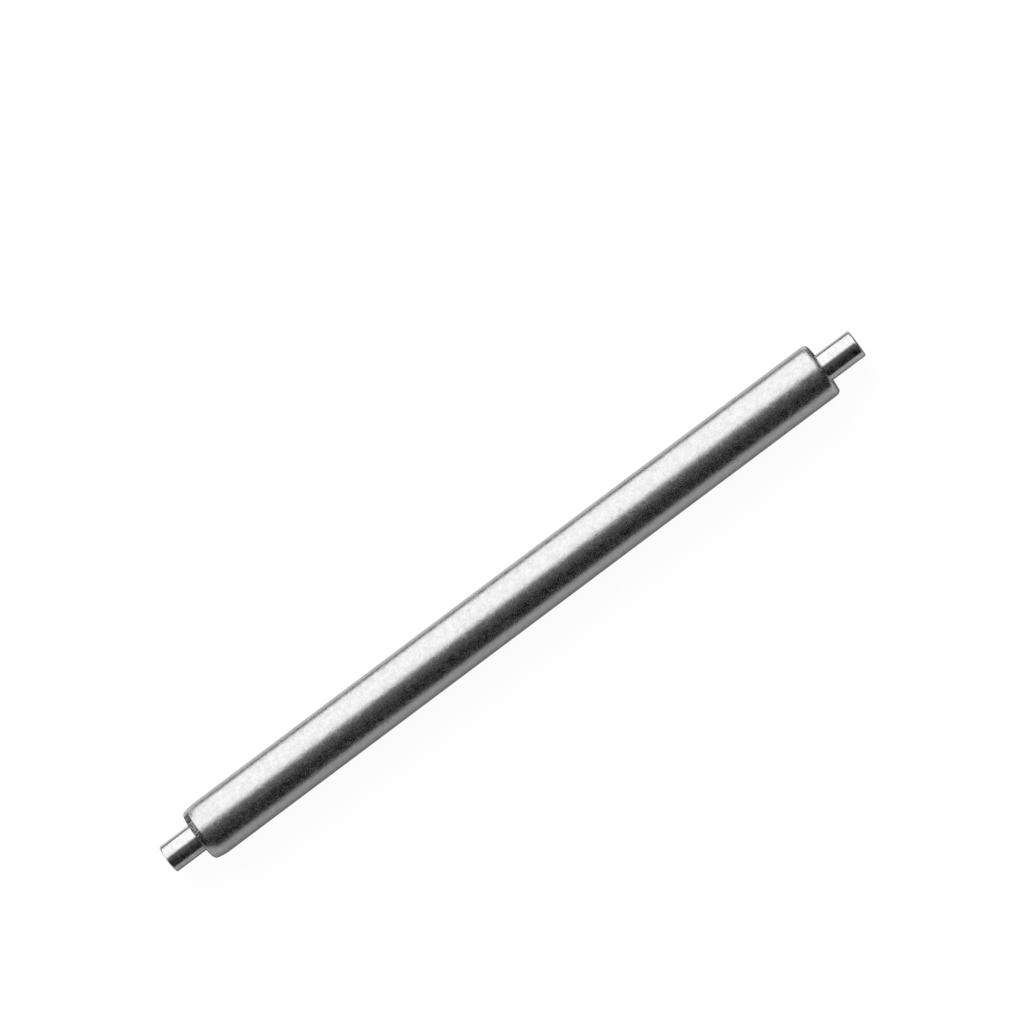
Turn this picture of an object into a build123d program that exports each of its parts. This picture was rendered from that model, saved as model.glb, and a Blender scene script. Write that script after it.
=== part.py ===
# Spring bar: the sprung cross pin that holds a strap or a bracelet between the lugs of a watch case.
# It has no flanges. A thin-walled tube has both of its ends rolled inwards. Inside it, one coil
# spring pushes two turned pivots apart until their collars stop against the rolled ends, so that
# only the pivots' round tips stand out. Either tip can be pressed in until it is level with the tube.
#
# Frame: the bar lies along X and its middle over the tips is at the origin, with +Z up. Units are
# millimetres.
# The -X end of the tube is necked in a die before the bar is put together, which gives it the
# longer, softer roll. The +X end is rolled over last, to close the bar, and its roll is tighter.
import os
from math import atan, cos, degrees, hypot, pi, radians, sin, sqrt, tan

from build123d import *

# Pivots
pivot_diameter = 0.61       # the round tip, which goes into the lug's hole
tip_length = 0.93           # from the collar to the tip's end, most of which stands out of the tube
pivot_edge_radius = 0.03    # rounding of the tip's outer edge
pivot_travel = 0.74         # how far a tip is pressed in, until it is all but level with the tube
collar_step = 0.125         # the collar's height above the tip
collar_length = 0.9         # the length that the bore guides
collar_chamfer = 0.04
collar_crown = 0.015        # its middle stands out this much, so that it can't jam in the bore
tail_length = 1.6           # the tapered tail that keeps the spring's end centred
tail_taper = 0.05           # how much its radius shrinks towards its end

# Tube
tube_length = 15.65
tube_wall = 0.15
necked_lip_thickness = 0.16 # metal along the bar at the -X mouth
closed_lip_thickness = 0.10 # and at the +X mouth, so that its tip stands out further
lip_inner_radius = 0.03     # where the lip meets the bore
mouth_edge_radius = 0.03    # rounding of the mouth's outer edge
necked_neck_length = 0.27   # at the -X end the skin narrows gently over this length
necked_neck_drop = 0.036    # and by this much, on the radius
necked_corner_radius = 0.08
necked_face_angle = 86      # from the bar's axis to the face that leads down to the mouth
closed_neck_length = 0.10   # the same four at the +X end
closed_neck_drop = 0.009
closed_corner_radius = 0.08
closed_face_angle = 84

# Spring
wire_diameter = 0.16
open_turns = 26             # turns at the working pitch
end_turns = 1               # close-wound turns at each end
end_turn_gap = 0.02         # gap between the close-wound turns

# Clearances, on the radius or along the bar
mouth_clearance = 0.02      # tip in the rolled mouth
collar_clearance = 0.02     # collar in the bore
spring_clearance = 0.05     # spring in the bore
tail_clearance = 0.02       # root of the tail in the spring
seat_gap = 0.01             # a collar from its lip, and a spring end from its collar

# Radii and places that follow from the sizes above
pivot_radius = pivot_diameter / 2
collar_radius = pivot_radius + collar_step
bore_radius = collar_radius + collar_clearance
tube_radius = bore_radius + tube_wall                    # 0.6, half of the bar's nominal 1.2
mouth_radius = pivot_radius + mouth_clearance
wire_radius = wire_diameter / 2
spring_radius = bore_radius - spring_clearance - wire_radius   # centre of the wire
tail_radius = spring_radius - wire_radius - tail_clearance
lip_inside = (tube_length - necked_lip_thickness - closed_lip_thickness) / 2   # where the bore begins
collar_front = lip_inside - seat_gap
collar_back = collar_front - collar_length
tip_end = collar_front + tip_length
spring_half = collar_back - seat_gap - wire_radius       # centre of the wire in the end turns
quarter_turn = 90


def roll(lip_thickness, neck_length, neck_drop, corner_radius, face_angle):
    """Where the roll begins, and the wall's outline at the +X side from there round to the bore."""
    end_x = lip_inside + lip_thickness
    neck_angle = degrees(2 * atan(neck_drop / neck_length))
    neck_radius = neck_length / sin(radians(neck_angle))
    neck, face = radians(neck_angle), radians(face_angle)
    # The face runs tangent to the mouth's edge, so the outline is worked out from there to the skin
    mouth_centre = Vector(end_x - mouth_edge_radius, mouth_radius + mouth_edge_radius)
    face_low = mouth_centre + Vector(sin(face), cos(face)) * mouth_edge_radius
    face_high_radius = tube_radius - neck_drop - corner_radius * (cos(neck) - cos(face))
    face_high = Vector(face_low.X - (face_high_radius - face_low.Y) / tan(face), face_high_radius)
    corner_centre = face_high - Vector(sin(face), cos(face)) * corner_radius
    neck_end = corner_centre + Vector(sin(neck), cos(neck)) * corner_radius
    neck_start_x = neck_end.X - neck_length
    return neck_start_x, [
        CenterArc(
            (neck_start_x, tube_radius - neck_radius),
            neck_radius,
            start_angle=quarter_turn,
            arc_size=-neck_angle,
        ),
        CenterArc(
            corner_centre,
            corner_radius,
            start_angle=quarter_turn - neck_angle,
            arc_size=neck_angle - face_angle,
        ),
        Line(face_high, face_low),
        CenterArc(
            mouth_centre,
            mouth_edge_radius,
            start_angle=quarter_turn - face_angle,
            arc_size=face_angle - 2 * quarter_turn,
        ),
        Line((end_x - mouth_edge_radius, mouth_radius), (lip_inside, mouth_radius)),
        Line((lip_inside, mouth_radius), (lip_inside, bore_radius - lip_inner_radius)),
        CenterArc(
            (lip_inside - lip_inner_radius, bore_radius - lip_inner_radius),
            lip_inner_radius,
            start_angle=0,
            arc_size=quarter_turn,
        ),
    ]


def make_tube():
    """The tube with both of its ends rolled in, turned from one outline of its wall."""
    closed_start, closed_end = roll(
        closed_lip_thickness,
        closed_neck_length,
        closed_neck_drop,
        closed_corner_radius,
        closed_face_angle,
    )
    necked_start, necked_outline = roll(
        necked_lip_thickness,
        necked_neck_length,
        necked_neck_drop,
        necked_corner_radius,
        necked_face_angle,
    )
    necked_end = [edge.mirror(Plane.YZ) for edge in necked_outline]
    skin = Line((-necked_start, tube_radius), (closed_start, tube_radius))
    print(f"straight skin from {-necked_start:.3f} to {closed_start:.3f}")
    bore_end = lip_inside - lip_inner_radius
    bore = Line((-bore_end, bore_radius), (bore_end, bore_radius))
    outline = make_face([skin, bore] + closed_end + necked_end)
    return revolve(outline, Axis.X)


def make_pivot():
    """The pivot at the +X end: its tip, its collar and the tapered tail that the spring is pushed on."""
    tail_end = collar_back - tail_length
    collar_edge_radius = collar_radius - collar_crown
    tail = Polyline(
        (tip_end, 0),
        (tail_end, 0),
        (tail_end, tail_radius - tail_taper),
        (collar_back, tail_radius),
        (collar_back, collar_edge_radius - collar_chamfer),
        (collar_back + collar_chamfer, collar_edge_radius),
    )
    crown = ThreePointArc(
        (collar_back + collar_chamfer, collar_edge_radius),
        ((collar_back + collar_front) / 2, collar_radius),
        (collar_front - collar_chamfer, collar_edge_radius),
    )
    tip = Polyline(
        (collar_front - collar_chamfer, collar_edge_radius),
        (collar_front, collar_edge_radius - collar_chamfer),
        (collar_front, pivot_radius),
        (tip_end - pivot_edge_radius, pivot_radius),
    )
    rounded_edge = CenterArc(
        (tip_end - pivot_edge_radius, pivot_radius - pivot_edge_radius),
        pivot_edge_radius,
        start_angle=quarter_turn,
        arc_size=-quarter_turn,
    )
    tip_face = Line((tip_end, pivot_radius - pivot_edge_radius), (tip_end, 0))
    return revolve(make_face([tail, crown, tip, rounded_edge, tip_face]), Axis.X)


def spring_stations():
    """The wire's centre and its direction at each half turn, from one end of the spring to the other."""
    half_turns = 2 * (open_turns + 2 * end_turns)
    end_half_turns = 2 * end_turns
    end_pitch = wire_diameter + end_turn_gap
    is_end = [k <= end_half_turns or k >= half_turns - end_half_turns for k in range(half_turns + 1)]
    # Between two stations the wire advances by the mean of their pitches, over half a turn
    end_share = sum((is_end[k] + is_end[k + 1]) / 4 for k in range(half_turns))
    open_share = half_turns / 2 - end_share
    open_pitch = (2 * spring_half - end_share * end_pitch) / open_share
    pitches = [end_pitch if near_end else open_pitch for near_end in is_end]
    stations = []
    x = -spring_half
    for k, pitch in enumerate(pitches):
        side = 1 if k % 2 == 0 else -1
        direction = Vector(pitch, 0, side * 2 * pi * spring_radius)
        stations.append((Vector(x, side * spring_radius, 0), direction.normalized()))
        if k < half_turns:
            x += (pitch + pitches[k + 1]) / 4
    return stations, open_pitch


def make_spring():
    """The compression spring, one unbroken wire swept along two tangent arcs for each half turn."""
    stations, open_pitch = spring_stations()
    arcs = []
    for (start, out), (end, onward) in zip(stations, stations[1:]):
        # The arcs meet where both of their tangent lengths are alike
        chord = end - start
        both = out + onward
        spread = 2 * (1 - out.dot(onward))
        along = chord.dot(both)
        reach = (sqrt(along * along + spread * chord.dot(chord)) - along) / spread
        meeting = (start + end + (out - onward) * reach) * 0.5
        first = TangentArc(start, meeting, tangent=out)
        arcs += [first, TangentArc(meeting, end, tangent=first % 1)]
    path = Wire(arcs)
    section = Plane(origin=path @ 0, z_dir=path % 0) * Circle(wire_radius)
    spring = sweep(section, path=path)
    helix_length = (len(stations) - 1) / 2 * hypot(2 * pi * spring_radius, open_pitch)
    print(f"spring: open pitch {open_pitch:.3f}, wire length {path.length:.2f} (helix {helix_length:.2f}),")
    print(f"  volume {spring.volume:.4f}, section times length {pi * wire_radius ** 2 * path.length:.4f}")
    return spring


def main():
    os.makedirs("parts", exist_ok=True)
    right_pivot = make_pivot()
    nodes = {
        "tube": make_tube(),
        "left_pivot": right_pivot.mirror(Plane.YZ),
        "right_pivot": right_pivot,
        "coil_spring": make_spring(),
    }
    for name, shape in nodes.items():
        export_step(shape, f"parts/{name}.step")
    solid_turns = (open_turns + 2 * end_turns + 1) * wire_diameter
    spare = 2 * spring_half + wire_diameter - 2 * pivot_travel - solid_turns
    print(f"tube diameter {2 * tube_radius:.3f}, over the tips {2 * tip_end:.3f}")
    for name, lip_thickness in (("left", necked_lip_thickness), ("right", closed_lip_thickness)):
        print(f"{name} tip stands out {tip_end - lip_inside - lip_thickness:.3f}")
    print(f"with both tips pressed in, the spring is {spare:.2f} longer than its turns laid solid")


main()
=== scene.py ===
# The looks of a watch strap's spring bar: a rolled steel tube, its two sprung pivots and the coil
# spring between them. The bar lies along X on a pale table, and the camera looks down on it.
# Blender's unit is the metre, so sizes are written in thousandths of it.
from math import atan, cos, degrees, hypot, pi, radians, sin, tan

import bpy
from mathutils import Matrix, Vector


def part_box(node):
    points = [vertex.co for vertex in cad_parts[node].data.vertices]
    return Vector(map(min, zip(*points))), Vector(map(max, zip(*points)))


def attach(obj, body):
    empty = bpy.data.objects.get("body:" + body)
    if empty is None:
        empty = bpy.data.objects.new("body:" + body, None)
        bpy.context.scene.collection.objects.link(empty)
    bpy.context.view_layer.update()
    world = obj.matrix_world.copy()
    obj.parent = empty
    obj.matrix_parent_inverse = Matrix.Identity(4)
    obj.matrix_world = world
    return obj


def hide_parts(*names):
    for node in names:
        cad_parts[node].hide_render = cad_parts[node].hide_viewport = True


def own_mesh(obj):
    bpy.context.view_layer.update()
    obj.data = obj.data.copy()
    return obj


mm = 0.001

print("loading the frame")
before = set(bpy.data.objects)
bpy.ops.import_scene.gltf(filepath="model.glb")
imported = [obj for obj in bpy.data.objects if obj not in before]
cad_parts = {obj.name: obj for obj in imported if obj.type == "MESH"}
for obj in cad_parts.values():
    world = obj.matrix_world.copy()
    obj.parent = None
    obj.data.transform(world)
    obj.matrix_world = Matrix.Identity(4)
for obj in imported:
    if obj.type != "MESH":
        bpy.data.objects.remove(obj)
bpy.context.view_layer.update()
tubeLow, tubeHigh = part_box("tube")
pivotLow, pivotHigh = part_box("right_pivot")
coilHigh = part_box("coil_spring")[1]


# Mesh helpers. Each turned piece is one ring, drawn out along the bar's axis.

closeness = {
    "weld": 0.00002 * mm,               # points nearer than this become one
    "ring": 0.001 * mm,                 # a ring's points lie within this of its station
}


def startRing(name, x, radius, sides):
    bpy.ops.object.select_all(action="DESELECT")
    bpy.ops.mesh.primitive_circle_add(
        vertices=sides, radius=radius, location=(x, 0, 0), rotation=(0, pi / 2, 0))
    ring = bpy.context.object
    ring.name = ring.data.name = name
    bpy.ops.object.transform_apply(location=True, rotation=True, scale=True)
    bpy.ops.object.mode_set(mode="EDIT")
    bpy.ops.mesh.select_all(action="SELECT")
    return ring


def drawRing(start, stations):
    # extrudes the selected ring from start through each (x, radius)
    x, radius = start
    for nextX, nextRadius in stations:
        bpy.ops.mesh.extrude_region_move(TRANSFORM_OT_translate={"value": (nextX - x, 0, 0)})
        share = nextRadius / radius
        bpy.ops.transform.resize(value=(1, share, share), center_override=(nextX, 0, 0))
        x, radius = nextX, nextRadius


def selectRing(piece, station):
    # leaves only the ring at this station selected
    x, radius = station
    near = closeness["ring"]
    bpy.ops.mesh.select_all(action="DESELECT")
    bpy.ops.object.mode_set(mode="OBJECT")
    for vertex in piece.data.vertices:
        place = vertex.co
        vertex.select = abs(place.x - x) < near and abs(hypot(place.y, place.z) - radius) < near
    for line in piece.data.edges:
        line.select = all(piece.data.vertices[k].select for k in line.vertices)
    bpy.ops.object.mode_set(mode="EDIT")


def finishTurned(piece, creaseAngle):
    bpy.ops.mesh.select_all(action="SELECT")
    bpy.ops.mesh.remove_doubles(threshold=closeness["weld"])
    bpy.ops.mesh.normals_make_consistent(inside=False)
    bpy.ops.object.mode_set(mode="OBJECT")
    bpy.ops.object.shade_smooth_by_angle(angle=creaseAngle)
    return piece


def arc(centreX, centreRadius, reach, fromDegrees, toDegrees, steps, first=1):
    # stations on an arc, where 0 degrees points along +X and 90 away from the axis
    sweep = toDegrees - fromDegrees
    turns = [radians(fromDegrees + sweep * k / steps) for k in range(first, steps + 1)]
    return [(centreX + reach * cos(turn), centreRadius + reach * sin(turn)) for turn in turns]


# Tube: its wall's outline, drawn from the skin over the closed end, back through the bore and round
# the necked end

tube = {
    "radius": 0.6 * mm,
    "wall": 0.15 * mm,
    "mouthRadius": 0.325 * mm,
    "mouthEdge": 0.03 * mm,
    "lipFillet": 0.03 * mm,
    "neckedRoll": {                     # at the left end
        "lip": 0.16 * mm,
        "neck": 0.27 * mm,
        "drop": 0.036 * mm,
        "corner": 0.08 * mm,
        "face": radians(86),            # from the bar's axis
    },
    "closedRoll": {                     # at the right end
        "lip": 0.10 * mm,
        "neck": 0.10 * mm,
        "drop": 0.009 * mm,
        "corner": 0.08 * mm,
        "face": radians(84),
    },
    "neckSteps": 10,
    "cornerSteps": 10,
    "edgeSteps": 5,
    "skinParts": 24,
    "sides": 128,
    "creaseAngle": radians(50),
}


def tubeEnd(roll, endX):
    # the stations of one end, from the skin to the bore, for an end at +X
    neckLength, neckDrop, corner, faceAngle = roll["neck"], roll["drop"], roll["corner"], roll["face"]
    skin = tube["radius"]
    mouth, edge = tube["mouthRadius"], tube["mouthEdge"]
    fillet, bore = tube["lipFillet"], skin - tube["wall"]
    lipX = endX - roll["lip"]
    neckAngle = 2 * atan(neckDrop / neckLength)
    neckRadius = neckLength / sin(neckAngle)
    # the face runs tangent to the mouth's edge, and is worked out from there up to the neck
    faceX = endX - edge + edge * sin(faceAngle)
    faceTop = skin - neckDrop - corner * (cos(neckAngle) - cos(faceAngle))
    faceX -= (faceTop - mouth - edge - edge * cos(faceAngle)) / tan(faceAngle)
    cornerX = faceX - corner * sin(faceAngle)
    neckX = cornerX + corner * sin(neckAngle) - neckLength
    neckLean, faceLean = 90 - degrees(neckAngle), 90 - degrees(faceAngle)
    cornerRadius = faceTop - corner * cos(faceAngle)
    necked = arc(neckX, skin - neckRadius, neckRadius, 90, neckLean, tube["neckSteps"])
    rounded = arc(cornerX, cornerRadius, corner, neckLean, faceLean, tube["cornerSteps"])
    mouthEdge = arc(endX - edge, mouth + edge, edge, faceLean, -90, tube["edgeSteps"], first=0)
    inside = arc(lipX - fillet, bore - fillet, fillet, 0, 90, tube["edgeSteps"])
    return neckX, necked + rounded + mouthEdge + [(lipX, mouth), (lipX, bore - fillet)] + inside


def makeTube():
    closedX, closed = tubeEnd(tube["closedRoll"], tubeHigh.x)
    neckedX, necked = tubeEnd(tube["neckedRoll"], -tubeLow.x)
    necked = [(-x, radius) for x, radius in necked]
    parts = tube["skinParts"]
    skin = [(-neckedX + (closedX + neckedX) * k / parts, tube["radius"]) for k in range(parts + 1)]
    piece = startRing("rolledTube", skin[0][0], skin[0][1], tube["sides"])
    drawRing(skin[0], skin[1:] + closed + necked[::-1] + skin[:1])
    return finishTurned(piece, tube["creaseAngle"])


# Pivots: a tip with a rounded edge, a crowned collar and a tapered tail

pivot = {
    "tipRadius": 0.305 * mm,
    "tipEdge": 0.03 * mm,
    "faceRings": 6,
    "collarRadius": 0.43 * mm,
    "collarLength": 0.9 * mm,
    "collarFront": 7.685 * mm,
    "collarChamfer": 0.04 * mm,
    "collarCrown": 0.015 * mm,
    "crownSteps": 8,
    "tailRadius": 0.22 * mm,
    "tailTaper": 0.05 * mm,
    "edgeSteps": 6,
    "sides": 96,
    "creaseAngle": radians(40),
}


def makePivot(name, side):
    tip, edge = pivot["tipRadius"], pivot["tipEdge"]
    front, chamfer, crown = pivot["collarFront"], pivot["collarChamfer"], pivot["collarCrown"]
    back = front - pivot["collarLength"]
    collar = pivot["collarRadius"] - crown
    steps = pivot["crownSteps"]
    crowned = []
    for k in range(steps + 1):
        share = k / steps
        x = front - chamfer + (back - front + 2 * chamfer) * share
        crowned.append((x, collar + crown * (1 - (2 * share - 1) ** 2)))
    rings = pivot["faceRings"]
    face = [(pivotHigh.x, (tip - edge) * k / rings) for k in range(1, rings + 1)]
    outline = face + arc(pivotHigh.x - edge, tip - edge, edge, 0, 90, pivot["edgeSteps"])
    outline += [(front, tip), (front, collar - chamfer)] + crowned
    outline += [(back, collar - chamfer), (back, pivot["tailRadius"])]
    outline += [(pivotLow.x, pivot["tailRadius"] - pivot["tailTaper"])]
    outline = [(side * x, radius) for x, radius in outline]
    piece = startRing(name, outline[0][0], outline[0][1], pivot["sides"])
    bpy.ops.mesh.edge_face_add()
    bpy.ops.mesh.poke()                      # closes the tip's face at a centre point
    selectRing(piece, outline[0])
    drawRing(outline[0], outline[1:])
    bpy.ops.mesh.edge_face_add()
    return finishTurned(piece, pivot["creaseAngle"])


# Coil spring: each half is its own piece, wound from an end of the bar to its middle

coil = {
    "radius": 0.32 * mm,                # of the wire's centre round the bar's axis
    "wireRadius": 0.08 * mm,
    "endTurns": 1,
    "endPitch": 0.18 * mm,
    "openTurns": 13,
    "wireSides": 14,
    "turnSteps": 36,
    "weld": 0.0005 * mm,                # joins the close-wound turns to the open ones
    "creaseAngle": radians(60),
}


def windWire(name, fromX, toX, turns):
    # one length of wire, wound round the bar's axis from a ring that faces along the wire
    bpy.ops.object.select_all(action="DESELECT")
    bpy.ops.mesh.primitive_circle_add(
        vertices=coil["wireSides"], radius=coil["wireRadius"],
        location=(fromX, 0, coil["radius"]), rotation=(pi / 2, 0, 0))
    wire = bpy.context.object
    wire.name = wire.data.name = name
    bpy.ops.object.transform_apply(location=True, rotation=True, scale=True)
    bpy.ops.object.modifier_add(type="SCREW")
    screw = wire.modifiers[-1]
    screw.axis = "X"
    screw.iterations = turns
    screw.screw_offset = (toX - fromX) / turns
    screw.steps = screw.render_steps = coil["turnSteps"]
    screw.use_smooth_shade = True
    bpy.ops.object.modifier_apply(modifier=screw.name)
    return wire


def makeLeftCoil():
    endX = -(coilHigh.x - coil["wireRadius"])
    openX = endX + coil["endPitch"] * coil["endTurns"]
    closeWound = windWire("closeTurns", endX, openX, coil["endTurns"])
    openWound = windWire("leftCoil", openX, 0, coil["openTurns"])
    bpy.ops.object.select_all(action="DESELECT")
    closeWound.select_set(True)
    openWound.select_set(True)
    bpy.context.view_layer.objects.active = openWound
    bpy.ops.object.join()
    bpy.ops.object.mode_set(mode="EDIT")
    bpy.ops.mesh.select_all(action="SELECT")
    bpy.ops.mesh.remove_doubles(threshold=coil["weld"])
    bpy.ops.mesh.select_all(action="DESELECT")
    bpy.ops.mesh.select_non_manifold()
    bpy.ops.mesh.edge_face_add()
    return finishTurned(openWound, coil["creaseAngle"])


def makeRightCoil(leftCoil):
    # the same half turned end for end, which keeps the hand of the winding
    bpy.ops.object.select_all(action="DESELECT")
    leftCoil.select_set(True)
    bpy.context.view_layer.objects.active = leftCoil
    bpy.ops.object.duplicate()
    rightCoil = bpy.context.object
    rightCoil.name = rightCoil.data.name = "rightCoil"
    rightCoil.rotation_euler.z = pi
    bpy.ops.object.transform_apply(location=True, rotation=True, scale=True)
    return rightCoil


print("turning the tube")
rolledTube = makeTube()
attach(rolledTube, "barrel")
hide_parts("tube")

print("turning the pivots")
pivots = {}
for name, side, node, body in (
        ("leftTip", -1, "left_pivot", "left_plunger"),
        ("rightTip", 1, "right_pivot", "right_plunger")):
    pivots[name] = makePivot(name, side)
    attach(pivots[name], body)
    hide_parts(node)

print("winding the spring")
leftCoil = makeLeftCoil()
rightCoil = makeRightCoil(leftCoil)
for piece, joint in ((leftCoil, "left_press"), (rightCoil, "right_press")):
    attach(piece, "barrel")
    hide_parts("coil_spring")
    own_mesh(piece)


# Materials. A small helper adds a node, sets its plain inputs and links the others.

def addNode(tree, kind, settings=None, **inputs):
    node = tree.nodes.new(kind)
    for name, value in (settings or {}).items():
        setattr(node, name, value)
    for name, value in inputs.items():
        socket = node.inputs[int(name[1:]) if name[1:].isdigit() else name.replace("_", " ")]
        if isinstance(value, bpy.types.NodeSocket):
            tree.links.new(value, socket)
        else:
            socket.default_value = value
    return node.outputs[0]


def coordinates(tree, vector):
    split = tree.nodes.new("ShaderNodeSeparateXYZ")
    tree.links.new(vector, split.inputs[0])
    return split.outputs


def maths(tree, operation, a, b=0.0, c=0.0):
    return addNode(tree, "ShaderNodeMath", {"operation": operation}, i0=a, i1=b, i2=c)


def multiply(tree, first, *others):
    for other in others:
        first = maths(tree, "MULTIPLY", first, other)
    return first


def ramp(tree, value, low, high, toLow=0.0, toHigh=1.0):
    # a smooth step from toLow to toHigh as value goes from low to high
    return addNode(tree, "ShaderNodeMapRange", {"interpolation_type": "SMOOTHSTEP"}, Value=value,
                   From_Min=low, From_Max=high, To_Min=toLow, To_Max=toHigh)


def noise(tree, place, size, detail=2.0, roughness=0.5, distortion=0.0):
    return addNode(tree, "ShaderNodeTexNoise", None, Vector=place, Scale=1 / size, Detail=detail,
                   Roughness=roughness, Distortion=distortion)


def bump(tree, height, depth, below=None):
    inputs = {"Height": height, "Distance": depth}
    if below is not None:
        inputs["Normal"] = below
    return addNode(tree, "ShaderNodeBump", None, **inputs)


def startMaterial(name):
    material = bpy.data.materials.new(name)
    material.use_nodes = True
    tree = material.node_tree
    place = tree.nodes.new("ShaderNodeTexCoord").outputs["Object"]
    return material, tree, place, tree.nodes["Principled BSDF"]


def linkOutput(tree, kind, shader):
    output = tree.nodes.new(kind)
    tree.links.new(shader, output.inputs["Surface"])


def grey(level):
    return (level, level, level, 1)


def dress(piece, material):
    piece.data.materials.clear()
    piece.data.materials.append(material)


grain = {
    "detail": 3.0,
    "roughness": 0.95,                  # almost as much in the fine octaves as in the coarse ones
    "low": 0.4,                         # the noise from here to high takes up the whole swing
    "high": 0.6,
}


def speckle(tree, place, size, middle, swing):
    # a grain that wanders round its middle value
    mottled = noise(tree, place, size, detail=grain["detail"], roughness=grain["roughness"])
    return addNode(tree, "ShaderNodeMapRange", None, Value=mottled,
                   From_Min=grain["low"], From_Max=grain["high"],
                   To_Min=middle - swing, To_Max=middle + swing)


scratches = {
    "size": 0.17 * mm,
    "detail": 1.0,
    "level": 0.5,                       # the noise's value along a scratch
    "width": 0.09,
    "breakSize": 0.9,                   # share of size
    "breakDistortion": 1.0,
    "breakFrom": 0.5,
    "breakTo": 0.6,
    "depth": 0.0007 * mm,
    "rough": 0.08,                      # what a scratch adds to the roughness
}


def drawScratches(tree, place):
    # short and curved: the thin level lines of one noise, broken up by another
    size = scratches["size"]
    drift = noise(tree, place, size, detail=scratches["detail"])
    level = maths(tree, "ABSOLUTE", maths(tree, "SUBTRACT", drift, scratches["level"]))
    line = ramp(tree, level, 0.0, scratches["width"], 1.0, 0.0)
    breaks = noise(tree, place, size * scratches["breakSize"], detail=0.0,
                   distortion=scratches["breakDistortion"])
    return multiply(tree, line, ramp(tree, breaks, scratches["breakFrom"], scratches["breakTo"]))


def steelShader(tree, shader, color, roughness, normal, haze):
    # haze is the small share that reflects like a matt surface
    tint = addNode(tree, "ShaderNodeCombineColor", None, i0=color, i1=color, i2=color)
    tree.links.new(tint, shader.inputs["Base Color"])
    tree.links.new(roughness, shader.inputs["Roughness"])
    tree.links.new(normal, shader.inputs["Normal"])
    tree.links.new(maths(tree, "SUBTRACT", 1.0, haze), shader.inputs["Metallic"])


satin = {
    "color": (0.67, 0.05),              # middle and swing
    "colorSize": 0.12 * mm,
    "roughness": (0.25, 0.04),
    "roughSize": 0.14 * mm,
    "haze": (0.028, 0.023),
    "hazeSize": 0.10 * mm,
    "peelSize": 0.085 * mm,
    "peelRoughness": 0.6,               # of its noise, not of the steel
    "peelDepth": 0.0014 * mm,
}

# Painted shade: both ends of the tube are darkened high on their +Y side, where the highlight stops,
# and real pits drawn as bumps mottle it; at the left end the painted shade has a sharp limit
pitsAndPaintedShade = {
    "left": (7.69 * mm, 7.72 * mm),
    "right": (7.67 * mm, 7.76 * mm),
    "side": (-0.28 * mm, 0.04 * mm),
    "top": (0.20 * mm, 0.30 * mm),      # none of it lower than this
    "color": (0.15, 0.36),              # share of the steel's own colour that the painted shade leaves, in the pits and between them
    "pitRange": (0.35, 0.65),           # of the noise, from the one to the other
    "pitSize": 0.05 * mm,
    "pitDepth": 0.012 * mm,
}


def makeSatin():
    material, tree, place, shader = startMaterial("satinTubeSteel")
    x, y, z = coordinates(tree, place)
    atLeft = ramp(tree, maths(tree, "MULTIPLY", x, -1.0), *pitsAndPaintedShade["left"])
    atRight = ramp(tree, x, *pitsAndPaintedShade["right"])
    # marked is where the painted shade and the pits go: high on the +Y side of both ends
    marked = multiply(tree, maths(tree, "ADD", atLeft, atRight),
                      ramp(tree, y, *pitsAndPaintedShade["side"]), ramp(tree, z, *pitsAndPaintedShade["top"]))
    pits = noise(tree, place, pitsAndPaintedShade["pitSize"], detail=1.0)
    scratch = drawScratches(tree, place)
    peel = noise(tree, place, satin["peelSize"], roughness=satin["peelRoughness"])
    peeled = bump(tree, peel, satin["peelDepth"])
    scratched = bump(tree, scratch, scratches["depth"], peeled)
    pitted = bump(tree, multiply(tree, pits, marked), pitsAndPaintedShade["pitDepth"], scratched)
    rough = speckle(tree, place, satin["roughSize"], *satin["roughness"])
    rough = maths(tree, "ADD", rough, multiply(tree, scratch, scratches["rough"]))
    color = speckle(tree, place, satin["colorSize"], *satin["color"])
    # one less than the painted shade's share, so that the color is whole where there is no painted
    # shade
    paintedShade = maths(tree, "SUBTRACT", ramp(tree, pits, *pitsAndPaintedShade["pitRange"], *pitsAndPaintedShade["color"]), 1.0)
    color = multiply(tree, color, maths(tree, "MULTIPLY_ADD", marked, paintedShade, 1.0))
    haze = speckle(tree, place, satin["hazeSize"], *satin["haze"])
    steelShader(tree, shader, color, rough, pitted, haze)
    return material


polish = {
    "color": (0.70, 0.06),
    "colorSize": 0.12 * mm,
    "roughness": (0.13, 0.07),
    "roughSize": 0.10 * mm,
    "haze": (0.03, 0.03),
    "hazeSize": 0.07 * mm,
    "around": (1.0, 0.4, 0.4),          # turning marks run round the tip
    "turnedSize": 0.06 * mm,
    "turnedRoughness": 0.6,             # of their noise
    "turnedDepth": 0.0022 * mm,
}


def makePolish():
    material, tree, place, shader = startMaterial("polishedPivotSteel")
    turned = addNode(tree, "ShaderNodeMapping", None, Vector=place, Scale=polish["around"])
    marks = noise(tree, turned, polish["turnedSize"], roughness=polish["turnedRoughness"])
    marked = bump(tree, marks, polish["turnedDepth"])
    rough = speckle(tree, place, polish["roughSize"], *polish["roughness"])
    color = speckle(tree, turned, polish["colorSize"], *polish["color"])
    haze = speckle(tree, turned, polish["hazeSize"], *polish["haze"])
    steelShader(tree, shader, color, rough, marked, haze)
    return material


drawn = {
    "color": (0.60, 0.05),
    "colorSize": 0.06 * mm,
    "roughness": (0.22, 0.05),
    "roughSize": 0.03 * mm,
    "along": (1.0, 0.12, 0.12),         # the die's lines run along the wire
    "lineSize": 0.02 * mm,
    "lineDepth": 0.0008 * mm,
}


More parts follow.
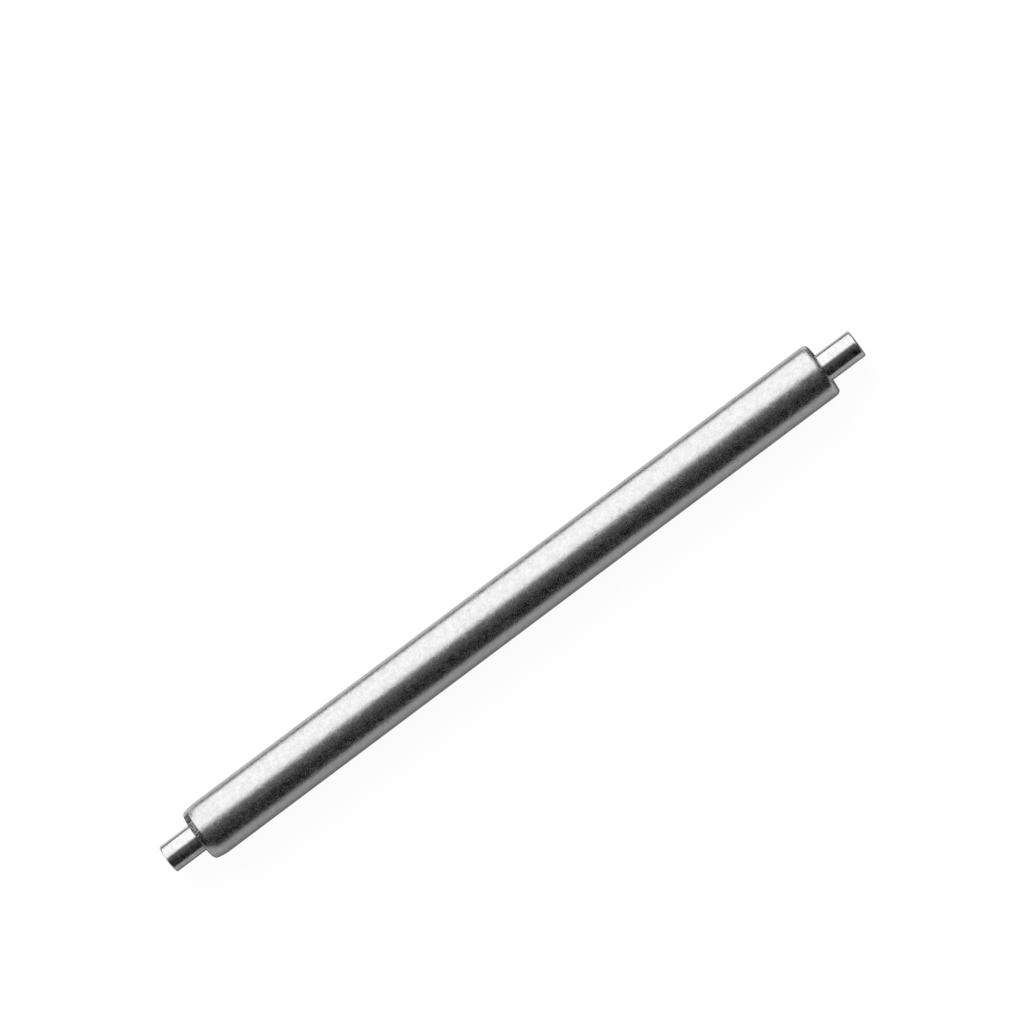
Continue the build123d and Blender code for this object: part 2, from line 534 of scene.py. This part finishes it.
def makeDrawnWire():
    # the wire winds almost straight round the bar
    material, tree, place, shader = startMaterial("drawnSpringSteel")
    wound = addNode(tree, "ShaderNodeMapping", None, Vector=place, Scale=drawn["along"])
    lined = bump(tree, noise(tree, wound, drawn["lineSize"], detail=1.0), drawn["lineDepth"])
    rough = speckle(tree, place, drawn["roughSize"], *drawn["roughness"])
    color = speckle(tree, place, drawn["colorSize"], *drawn["color"])
    steelShader(tree, shader, color, rough, lined, 0.0)
    return material


print("finishing the steel")
dress(rolledTube, makeSatin())
polished = makePolish()
for piece in pivots.values():
    dress(piece, polished)
drawnWire = makeDrawnWire()
dress(leftCoil, drawnWire)
dress(rightCoil, drawnWire)


# Table: it keeps the bar's soft shadow, and is lifted to white where the camera sees it

table = {
    "size": 600 * mm,
    "color": 0.92,
    "lift": 0.88,                       # share of the white that the camera sees
    "white": 1.03,
}


def makeTable():
    bpy.ops.object.select_all(action="DESELECT")
    bpy.ops.mesh.primitive_plane_add(size=table["size"], location=(0, 0, -tube["radius"]))
    top = bpy.context.object
    top.name = "table"
    material = bpy.data.materials.new("paleTable")
    material.use_nodes = True
    tree = material.node_tree
    tree.nodes.clear()
    paths = tree.nodes.new("ShaderNodeLightPath").outputs
    matt = addNode(tree, "ShaderNodeBsdfDiffuse", None, Color=grey(table["color"]))
    white = addNode(tree, "ShaderNodeEmission", None, Color=grey(1), Strength=table["white"])
    seen = maths(tree, "MULTIPLY", paths["Is Camera Ray"], table["lift"])
    mixed = addNode(tree, "ShaderNodeMixShader", None, i0=seen, i1=matt, i2=white)
    linkOutput(tree, "ShaderNodeOutputMaterial", mixed)
    material.cycles.emission_sampling = "NONE"
    dress(top, material)
    top.visible_glossy = False


# Studio: angles go round the bar, from 0 straight up to 180 straight down, and are positive on the
# -Y side. Reaches are how far a direction points along the bar, from -1 to 1.

studio = {
    "plain": 0.70,                      # what matt surfaces get from all round
    "white": 1.0,                       # what the camera sees
    "dark": 0.006,
    "key": {"from": -112.5, "to": -16.5, "softFrom": 6, "softTo": 12, "level": 1.37,
            "fallFrom": -70, "fall": 0.94, "reachFrom": 0.90, "reachTo": 0.97},
    "spill": {"riseFrom": -40, "riseTo": -15, "from": -14, "to": 44, "level": 0.108},
    "fill": {"from": 73, "to": 92, "level": 0.356, "fadeFrom": 106, "fadeTo": 150, "fade": 0.44,
             "leftFrom": -0.12, "leftShare": 0.95, "rightFrom": -0.02, "rightShare": 1.14,
             "dropFrom": -0.22, "dropTo": -0.50, "drop": 18,
             "asideFrom": 0.04, "asideTo": 0.22, "asideShare": 1.27},
    "gap": {"from": 103, "to": 113, "level": 0.18},
    "back": {"from": 127, "to": 142, "level": 0.72},
    "under": {"from": 156, "to": 170, "backAngle": -90, "backLevel": 0.10,
              "frontAngle": 90, "frontLevel": 0.60},
    "bend": {"middle": -0.07, "from": 0.05, "to": 0.29, "angle": 28},
    "poles": {"from": 0.80, "to": 0.93, "level": 0.12},
    "ends": {"from": 0.66, "to": 0.80, "level": 0.90, "closeFrom": -20, "closeTo": 5,
             "lowFrom": -0.4, "lowTo": -0.1},
}


def across(tree, value, light, toLow, toHigh):
    # a smooth step from a light's own from to its to
    return ramp(tree, value, light["from"], light["to"], toLow, toHigh)


def makeKeyLight(tree, angle, behindAngle, reach):
    key = studio["key"]
    opening, closing = -key["from"], key["to"]
    opens = ramp(tree, behindAngle, opening - key["softFrom"], opening + key["softFrom"], 1.0, 0.0)
    closes = ramp(tree, angle, closing - key["softTo"], closing + key["softTo"], 1.0, 0.0)
    reaches = ramp(tree, reach, key["reachFrom"], key["reachTo"], 1.0, 0.0)
    falls = ramp(tree, angle, key["fallFrom"], closing, key["level"], key["level"] * key["fall"])
    return multiply(tree, opens, closes, reaches, falls)


def makeSpillLight(tree, angle):
    spill = studio["spill"]
    rises = ramp(tree, angle, spill["riseFrom"], spill["riseTo"])
    return multiply(tree, rises, across(tree, angle, spill, spill["level"], 0.0))


def makeLowLight(tree, x, angle, behindAngle, aside, reach):
    # the fill on the -Y side and the light behind on the +Y side
    fill, gap, back = studio["fill"], studio["gap"], studio["back"]
    # towards the left end the fill comes from higher up
    dropped = ramp(tree, x, fill["dropTo"], fill["dropFrom"], fill["drop"], 0.0)
    rises = across(tree, maths(tree, "ADD", angle, dropped), fill, 0.0, fill["level"])
    fades = ramp(tree, angle, fill["fadeFrom"], fill["fadeTo"], 1.0, fill["fade"])
    sways = ramp(tree, x, fill["leftFrom"], fill["rightFrom"], fill["leftShare"], fill["rightShare"])
    lifts = ramp(tree, aside, fill["asideFrom"], fill["asideTo"], 1.0, fill["asideShare"])
    gapLight = across(tree, behindAngle, gap, 0.0, gap["level"])
    backLight = across(tree, behindAngle, back, 0.0, back["level"])
    around = maths(tree, "ADD", multiply(tree, rises, fades, sways, lifts),
                   maths(tree, "MAXIMUM", gapLight, backLight))
    # little comes from straight below, or from far off along the bar
    under, poles = studio["under"], studio["poles"]
    underLevel = ramp(tree, angle, under["backAngle"], under["frontAngle"],
                      under["backLevel"], under["frontLevel"])
    below = across(tree, maths(tree, "ABSOLUTE", angle), under, 1.0, underLevel)
    return multiply(tree, around, below, across(tree, reach, poles, 1.0, poles["level"]))


def makeEndLight(tree, z, angle, reach):
    # what the bar's end faces and the roll of its ends reflect
    ends = studio["ends"]
    closes = ramp(tree, angle, ends["closeFrom"], ends["closeTo"], 1.0, 0.0)
    above = ramp(tree, z, ends["lowFrom"], ends["lowTo"])
    return multiply(tree, across(tree, reach, ends, 0.0, ends["level"]), closes, above)


def chooseByRay(tree, isRay, otherwise, then):
    return addNode(tree, "ShaderNodeMix", {"data_type": "FLOAT"}, i0=isRay, i2=otherwise, i3=then)


def makeStudio():
    world = bpy.data.worlds.new("studio")
    bpy.context.scene.world = world
    world.use_nodes = True
    tree = world.node_tree
    tree.nodes.clear()
    x, y, z = coordinates(tree, tree.nodes.new("ShaderNodeTexCoord").outputs["Generated"])
    turn = maths(tree, "ARCTAN2", maths(tree, "MULTIPLY", y, -1.0), z)
    angle = maths(tree, "MULTIPLY", turn, degrees(1))
    reach = maths(tree, "ABSOLUTE", x)

    # the strip between the key and the light behind bends upwards towards both ends of the bar
    bend = studio["bend"]
    aside = maths(tree, "ABSOLUTE", maths(tree, "SUBTRACT", x, bend["middle"]))
    bent = across(tree, aside, bend, 0.0, bend["angle"])
    behindAngle = maths(tree, "SUBTRACT", bent, angle)

    total = maths(tree, "MAXIMUM", makeKeyLight(tree, angle, behindAngle, reach),
                  makeEndLight(tree, z, angle, reach))
    total = maths(tree, "ADD", total, makeSpillLight(tree, angle))
    total = maths(tree, "ADD", total, makeLowLight(tree, x, angle, behindAngle, aside, reach))
    total = maths(tree, "ADD", total, studio["dark"])
    paths = tree.nodes.new("ShaderNodeLightPath").outputs
    plain = chooseByRay(tree, paths["Is Camera Ray"], studio["plain"], studio["white"])
    level = chooseByRay(tree, paths["Is Glossy Ray"], plain, total)
    glow = addNode(tree, "ShaderNodeBackground", None, Color=grey(1), Strength=level)
    linkOutput(tree, "ShaderNodeOutputWorld", glow)
    world.cycles.sampling_method = "NONE"


lamp = {"size": 250 * mm, "distance": 320 * mm, "lean": radians(50), "power": 0.45}


def makeLamp():
    # a soft lamp on the +Y side, for the table's shadow
    away = lamp["distance"]
    bpy.ops.object.select_all(action="DESELECT")
    bpy.ops.object.light_add(
        type="AREA", location=(0, away * sin(lamp["lean"]), away * cos(lamp["lean"])),
        rotation=(-lamp["lean"], 0, 0))
    softbox = bpy.context.object
    softbox.name = "softbox"
    softbox.data.size = lamp["size"]
    softbox.data.energy = lamp["power"]
    softbox.visible_glossy = False


# Camera: almost straight above, with a long lens, at the photograph's place and scale

view = {
    "picture": 1024,                 # pixels across
    "scale": 50.1,                   # pixels to a millimetre
    "barMiddle": (511.74, 601.98),   # pixels from the picture's left and top
    "barAngle": 36.896,              # degrees that the bar climbs to the right
    "lean": radians(4),              # along the bar, towards the right tip
    "lens": 400,
    "sensor": 36,
    "nearest": 1 * mm,
    "farthest": 2000 * mm,
}


def makeCamera():
    turn, lean = radians(-view["barAngle"]), view["lean"]
    middle = view["picture"] / 2
    right = (middle - view["barMiddle"][0]) / view["scale"] * mm
    up = (view["barMiddle"][1] - middle) / view["scale"] * mm
    width = view["picture"] / view["scale"] * mm
    away = width * view["lens"] / view["sensor"]
    x, y = right * cos(turn) - up * sin(turn), right * sin(turn) + up * cos(turn)
    place = (x * cos(lean) + away * sin(lean), y, away * cos(lean) - x * sin(lean))
    bpy.ops.object.camera_add(location=place)
    camera = bpy.context.object
    camera.rotation_mode = "ZYX"
    camera.rotation_euler = (0, lean, turn)
    camera.data.lens = view["lens"]
    camera.data.sensor_width = view["sensor"]
    camera.data.clip_start = view["nearest"]
    camera.data.clip_end = view["farthest"]
    bpy.context.scene.camera = camera


print("setting up the studio")
makeTable()
makeStudio()
makeLamp()
makeCamera()
bpy.context.scene.view_settings.view_transform = "Standard"
